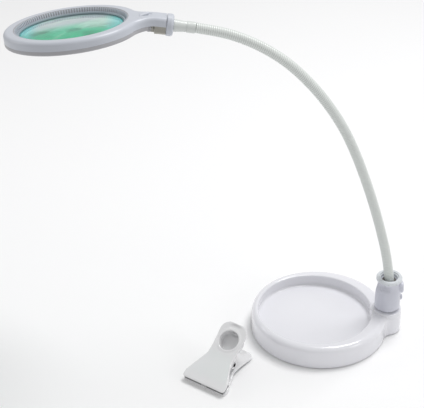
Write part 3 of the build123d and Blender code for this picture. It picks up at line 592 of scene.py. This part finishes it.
def grown(name, tree, mesh, **values):
    """Plain mesh object that a Geometry Nodes tree makes of a mesh."""
    host = linked(name + "_host", mesh)
    modifier = host.modifiers.new("pattern", "NODES")
    modifier.node_group = tree
    for item in tree.interface.items_tree:
        if item.item_type == "SOCKET" and item.in_out == "INPUT" and item.name in values:
            modifier[item.identifier] = values[item.name]
    graph = bpy.context.evaluated_depsgraph_get()
    result = bpy.data.meshes.new_from_object(host.evaluated_get(graph), depsgraph=graph)
    bpy.data.objects.remove(host)
    if not result.polygons:
        raise RuntimeError(f"the pattern of {name} made no faces")
    return linked(name, result)


def from_bmesh(name, shape, finish=None):
    mesh = bpy.data.meshes.new(name)
    shape.to_mesh(mesh)
    shape.free()
    if finish:
        mesh.materials.append(FINISHES[finish].material)
    return mesh


def polyline(points):
    mesh = bpy.data.meshes.new("line")
    mesh.from_pydata([tuple(p) for p in points], [(i, i + 1) for i in range(len(points) - 1)], [])
    return mesh


def lathe(outline, steps=96, smooth_angle=35.0):
    """Closed turned shape about Z from (radius, height) points."""
    shape = bmesh.new()
    ring = [shape.verts.new((r, 0.0, z)) for r, z in outline]
    edges = [shape.edges.new((a, b)) for a, b in zip(ring, ring[1:] + ring[:1])]
    bmesh.ops.spin(shape, geom=ring + edges, cent=(0, 0, 0), axis=(0, 0, 1), angle=2 * math.pi, steps=steps,
                   use_duplicate=False)
    bmesh.ops.remove_doubles(shape, verts=shape.verts, dist=1e-6)
    bmesh.ops.dissolve_degenerate(shape, edges=shape.edges, dist=1e-7)
    bmesh.ops.recalc_face_normals(shape, faces=shape.faces)
    soften(shape, smooth_angle)
    return shape


def soften(shape, angle=35.0):
    """Smooth shading, but for edges sharper than an angle."""
    limit = math.radians(angle)
    for face in shape.faces:
        face.smooth = True
    for edge in shape.edges:
        edge.smooth = len(edge.link_faces) == 2 and edge.calc_face_angle(0.0) < limit


def block(low, high, bevel=0.0):
    """Box between two corners with its edges rounded."""
    shape = bmesh.new()
    bmesh.ops.create_cube(shape, size=1.0)
    low, high = Vector(low), Vector(high)
    for v in shape.verts:
        v.co = Vector((low[i] + (v.co[i] + 0.5) * (high[i] - low[i]) for i in range(3)))
    if bevel:
        bmesh.ops.bevel(shape, geom=shape.edges[:], offset=bevel, segments=2, affect="EDGES", profile=0.6)
    soften(shape)
    return shape


def placed(obj, matrix):
    obj.data.transform(matrix)
    return obj


def joined(name, objects):
    """One object from several, with its place in its mesh."""
    first = objects[0]
    with bpy.context.temp_override(active_object=first, selected_editable_objects=objects,
                                   object=first, selected_objects=objects):
        bpy.ops.object.join()
    first.name = name
    first.data.name = name
    return first


def cad_copy(node):
    """A CAD node's shape as an editable shape, its loose triangles merged."""
    shape = bmesh.new()
    shape.from_mesh(NODES[node].data)
    bmesh.ops.remove_doubles(shape, verts=shape.verts, dist=1e-6)
    bmesh.ops.dissolve_degenerate(shape, edges=shape.edges, dist=1e-7)
    return shape


def finish_piece(obj, body, slot, *nodes):
    """Piece rides on its body, takes its slot's finish and stands for its CAD nodes."""
    if not obj.data.materials:
        obj.data.materials.append(FINISHES[slot].material)
    if body:
        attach(obj, body)
    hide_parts(*nodes)
    return obj


# ---------------------------------------------------------------- pieces
class LAMP_OT_finishes(Operator):
    """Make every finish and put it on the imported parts"""

    bl_idname = "lamp.finishes"
    bl_label = "Finishes"

    def execute(self, context):
        FINISHES.update(make_finishes(context.scene.lamp_colours))
        missing = {p["material_slot"] for p in frame["record"]["subparts"]} - set(FINISHES)
        if missing:
            raise RuntimeError(f"no finish for {sorted(missing)}")
        for part in frame["record"]["subparts"]:
            data = NODES[part["node"]].data
            for slot in NODES[part["node"]].material_slots:
                slot.material = FINISHES[part["material_slot"]].material
            if not data.materials:
                raise RuntimeError(f"{part['node']} has no material slot")
        return {"FINISHED"}


class LAMP_OT_gooseneck(Operator):
    """Make the gooseneck's ridged sleeve, one piece to each hinge"""

    bl_idname = "lamp.gooseneck"
    bl_label = "Gooseneck"

    def execute(self, context):
        sizes = context.scene.lamp_sizes
        bodies, hinges = neck_hinges()
        first, last = hinges[0], hinges[-1]
        before = first - Vector((0.0, 0.0, sizes.neck_start))
        after = last + (last - hinges[-2]).normalized() * (sizes.neck_end + 2 * MM)
        line = [before, *hinges, after]
        tree = sleeve_pattern()
        values = {"Radius": sizes.neck_radius, "Ridge": sizes.neck_ridge, "Pitch": sizes.neck_pitch,
                  "Finish": FINISHES["gooseneck_steel"].material}
        reach = self.lengths(line)
        marks = [0.0] + [(a + b) / 2 for a, b in zip(reach[1:-1], reach[2:-1])] + [reach[-2] + sizes.neck_end]
        for i, (hinge, low, high) in enumerate(zip(hinges, marks, marks[1:])):
            piece = grown(f"gooseneck_{i:02d}", tree, polyline(line), From=low, To=high, **values)
            heading = (line[i + 2] - line[i]).normalized()
            below = sizes.neck_start if hinge is first else sizes.neck_bend
            above = sizes.neck_end if hinge is last else sizes.neck_bend
            bodies[i + 1]
            hinge - heading * below
            hinge + heading * above
            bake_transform(piece)
            if i:
                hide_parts(f"neck_span_{i:02d}")
        return {"FINISHED"}

    @staticmethod
    def lengths(line):
        """Length of the rounded line up to each of its points."""
        total, found = 0.0, [0.0]
        for a, b in zip(line, line[1:]):
            total += (b - a).length
            found.append(total)
        return found


class LAMP_OT_lens(Operator):
    """Make the polished lens"""

    bl_idname = "lamp.lens"
    bl_label = "Lens"

    def execute(self, context):
        radius, curve, low, high = LENS_R, 347 * MM, 0.4 * MM, 2.9 * MM
        sag = curve - math.sqrt(curve ** 2 - radius ** 2)
        upper, lower = [], []
        steps = 24
        for i in range(steps + 1):
            r = radius * i / steps
            lift = sag - (curve - math.sqrt(curve ** 2 - r ** 2))
            upper.append((r, high + lift))
            lower.append((r, low - lift))
        rim = [(radius, high), (radius, low)]
        outline = upper[:-1] + rim + lower[-2::-1]
        lens = linked("lens_glass_disc", from_bmesh("lens_glass_disc", lathe(outline, 144), "lens_glass"))
        finish_piece(placed(lens, HEAD), "head", "lens_glass", "lens")
        return {"FINISHED"}


class LAMP_OT_ribbed_funnel(Operator):
    """Make the funnel round the lens with its radial ribs"""

    bl_idname = "lamp.ribbed_funnel"
    bl_label = "Ribbed funnel"

    def execute(self, context):
        sizes = context.scene.lamp_sizes
        foot, top, outer = 3.9 * MM, 9.6 * MM, LENS_R + 4.8 * MM
        outline = [(LENS_R + 2.2 * MM, foot), (LENS_R + 3.4 * MM, foot), (outer, 6.9 * MM), (outer, top),
                   (outer - 0.7 * MM, top)]
        wall = linked("funnel_wall", from_bmesh("funnel_wall", lathe(outline, 144), "grey_shell"))
        rib = block((-sizes.rib_depth, -sizes.rib_width / 2, 0.0),
                    (0.5 * MM, sizes.rib_width / 2, sizes.rib_height), 0.25 * MM)
        rib.transform(Matrix.Shear("XY", 4, (1.9 * MM / (top - foot), 0.0)))
        ribs = grown("funnel_ribs", ring_pattern(), from_bmesh("rib", rib), Count=sizes.rib_count,
                     Radius=LENS_R + 2.6 * MM, Start=0.0, Finish=FINISHES["satin_white_shell"].material)
        placed(ribs, Matrix.Translation((0, 0, foot + 0.6 * MM)))
        funnel = joined("ribbed_funnel", [wall, ribs])
        finish_piece(placed(funnel, HEAD), "head", "satin_white_shell", "ribbed_ring")
        return {"FINISHED"}


class LAMP_OT_springs(Operator):
    """Make the wire springs of the release button and of the clip"""

    bl_idname = "lamp.springs"
    bl_label = "Springs"

    def execute(self, context):
        sizes = context.scene.lamp_sizes
        tree = spring_pattern()
        low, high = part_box("button_spring")
        values = {"Finish": FINISHES["spring_steel"].material}
        wire = sizes.spring_wire
        seed = [(0, 0, 0), (0, 0, MM)]
        coil = grown("button_coil", tree, polyline(seed), Radius=(high.y - low.y) / 2 - wire, Wire=wire,
                     Height=high.x - low.x - 2 * wire, Turns=4.0, **values)
        middle_line = Vector((low.x + wire, (low.y + high.y) / 2, (low.z + high.z) / 2))
        finish_piece(placed(coil, axes_frame(middle_line, (0, 0, 1), (1, 0, 0))), "stem", "spring_steel",
                     "button_spring")
        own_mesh(coil)

        length, radius, wire = 16.2 * MM, 4.6 * MM, 0.6 * MM
        coil = grown("clip_coil", tree, polyline(seed), Radius=radius, Wire=wire,
                     Height=length - 2 * wire, Turns=11.0, **values)
        start = CLIP_ORIGIN - CLIP_Y.normalized() * (length / 2 - wire)
        finish_piece(placed(coil, axes_frame(start, (0, 0, 1), CLIP_Y)), "clip_base", "spring_steel",
                     "clip_spring")
        return {"FINISHED"}


class LAMP_OT_screws(Operator):
    """Make the head's screws with their cross recess"""

    bl_idname = "lamp.screws"
    bl_label = "Screws"

    def execute(self, context):
        screw = self.pan_head(2.0 * MM, 1.4 * MM, 1.1 * MM, 11.1 * MM)
        screws = grown("cover_screws", ring_pattern(), from_bmesh("screw", screw), Count=5,
                       Radius=LENS_R + 12 * MM, Start=math.radians(36),
                       Finish=FINISHES["screw_steel"].material)
        under_cover = -4.6 * MM
        placed(screws, Matrix.Translation((0, 0, under_cover)))
        finish_piece(placed(screws, HEAD), "head", "screw_steel", "head_screws")
        return {"FINISHED"}

    @staticmethod
    def pan_head(head_r, head_h, radius, length):
        """Screw standing on its head, with a cross cut into the head."""
        outline = [(0, 0.0), (head_r * 0.75, 0.0), (head_r, head_h * 0.35), (head_r, head_h),
                   (radius, head_h), (radius, length - radius), (0, length)]
        shape = lathe(outline, 20)
        arm, depth = head_r * 0.55, head_h * 0.55
        for turn in (0, 1):
            half = (arm, 0.14 * head_r) if turn else (0.14 * head_r, arm)
            signs = ((-1, -1), (1, -1), (1, 1), (-1, 1))
            corners = [(sx * half[0], sy * half[1]) for sx, sy in signs]
            top = [shape.verts.new((x, y, -0.02 * MM)) for x, y in corners]
            low = [shape.verts.new((x * 0.7, y * 0.7, depth)) for x, y in corners]
            shape.faces.new(top[::-1] if turn else top)
            shape.faces.new(low if turn else low[::-1])
            for i in range(4):
                shape.faces.new((top[i], top[(i + 1) % 4], low[(i + 1) % 4], low[i]))
        bmesh.ops.recalc_face_normals(shape, faces=shape.faces)
        return shape


class LAMP_OT_clip(Operator):
    """Make the clip's two jaws, rounded all over"""

    bl_idname = "lamp.clip"
    bl_label = "Clip"

    def execute(self, context):
        sizes = context.scene.lamp_sizes
        for node, body, name in (("clip_upper_jaw", "clip_top", "upper_jaw"),
                                 ("clip_lower_jaw", "clip_base", "lower_jaw")):
            jaw = linked(name, from_bmesh(name, cad_copy(node)))
            remesh = jaw.modifiers.new("round", "REMESH")
            remesh.mode = "VOXEL"
            remesh.voxel_size = sizes.voxel
            smooth = jaw.modifiers.new("soften", "SMOOTH")
            smooth.factor = 0.5
            smooth.iterations = 14
            graph = bpy.context.evaluated_depsgraph_get()
            mesh = bpy.data.meshes.new_from_object(jaw.evaluated_get(graph), depsgraph=graph)
            mesh.materials.clear()
            jaw.modifiers.clear()
            jaw.data = mesh
            for face in mesh.polygons:
                face.use_smooth = True
            finish_piece(jaw, body, "clip_white", node)
        return {"FINISHED"}


class LAMP_OT_stage(Operator):
    """Make the pale floor, the soft lights and the camera"""

    bl_idname = "lamp.stage"
    bl_label = "Stage"

    def execute(self, context):
        scene = context.scene
        floor = bmesh.new()
        bmesh.ops.create_grid(floor, x_segments=2, y_segments=2, size=6.0)
        made = linked("floor", from_bmesh("floor", floor))
        finish = Finish("floor_paper", Roughness=0.85)
        finish.set("Base Color", finish.mix(finish.noise(3.0, 2.0), scaled(scene.lamp_colours.floor, 0.995),
                                            scaled(scene.lamp_colours.floor, 1.005)))
        made.data.materials.append(finish.material)

        world = bpy.data.worlds.new("studio")
        world.use_nodes = True
        world.node_tree.nodes["Background"].inputs["Color"].default_value = (1.0, 1.0, 1.0, 1.0)
        world.node_tree.nodes["Background"].inputs["Strength"].default_value = 0.56
        scene.world = world
        target = Vector((-0.05, 0.0, 0.2))
        for name, place, width, power in (("key_light", (0.5, 0.5, 1.9), 0.8, 21.0),
                                          ("side_light", (1.4, -0.8, 0.9), 0.5, 2.5),
                                          ("rim_light", (-1.4, 0.3, 0.7), 0.5, 1.5)):
            data = bpy.data.lights.new(name, "AREA")
            data.size, data.energy = width, power
            light = linked(name, data)
            light.location = place
            light.rotation_euler = (target - Vector(place)).to_track_quat("-Z", "Y").to_euler()
        data = bpy.data.cameras.new("camera")
        data.sensor_width, data.lens = 36.0, 109.79
        camera = linked("camera", data)
        camera.location = (-0.13071, -1.27117, 0.97248)
        camera.rotation_euler = (math.radians(58.0), 0.0, 0.0)
        scene.camera = camera
        scene.view_settings.view_transform = "Standard"
        return {"FINISHED"}


OPERATORS = (LAMP_OT_stage, LAMP_OT_finishes, LAMP_OT_gooseneck, LAMP_OT_lens, LAMP_OT_ribbed_funnel,
             LAMP_OT_springs, LAMP_OT_screws, LAMP_OT_clip)


class LAMP_PT_panel(Panel):
    """The lamp's sizes, colours and pieces"""

    bl_idname = "LAMP_PT_panel"
    bl_label = "Magnifying lamp"
    bl_space_type = "VIEW_3D"
    bl_region_type = "UI"
    bl_category = "Lamp"

    def draw(self, context):
        for group in (context.scene.lamp_sizes, context.scene.lamp_colours):
            box = self.layout.box()
            for key in group.__annotations__:
                box.prop(group, key)
        for operator in OPERATORS:
            self.layout.operator(operator.bl_idname)


CLASSES = (LampSizes, LampColours, *OPERATORS, LAMP_PT_panel)


def register():
    for c in CLASSES:
        bpy.utils.register_class(c)
    bpy.types.Scene.lamp_sizes = PointerProperty(type=LampSizes)
    bpy.types.Scene.lamp_colours = PointerProperty(type=LampColours)


def unregister():
    del bpy.types.Scene.lamp_sizes
    del bpy.types.Scene.lamp_colours
    for c in reversed(CLASSES):
        bpy.utils.unregister_class(c)


def main():
    register()
    for operator in OPERATORS:
        group, name = operator.bl_idname.split(".")
        getattr(getattr(bpy.ops, group), name)()


if __name__ == "__main__":
    main()
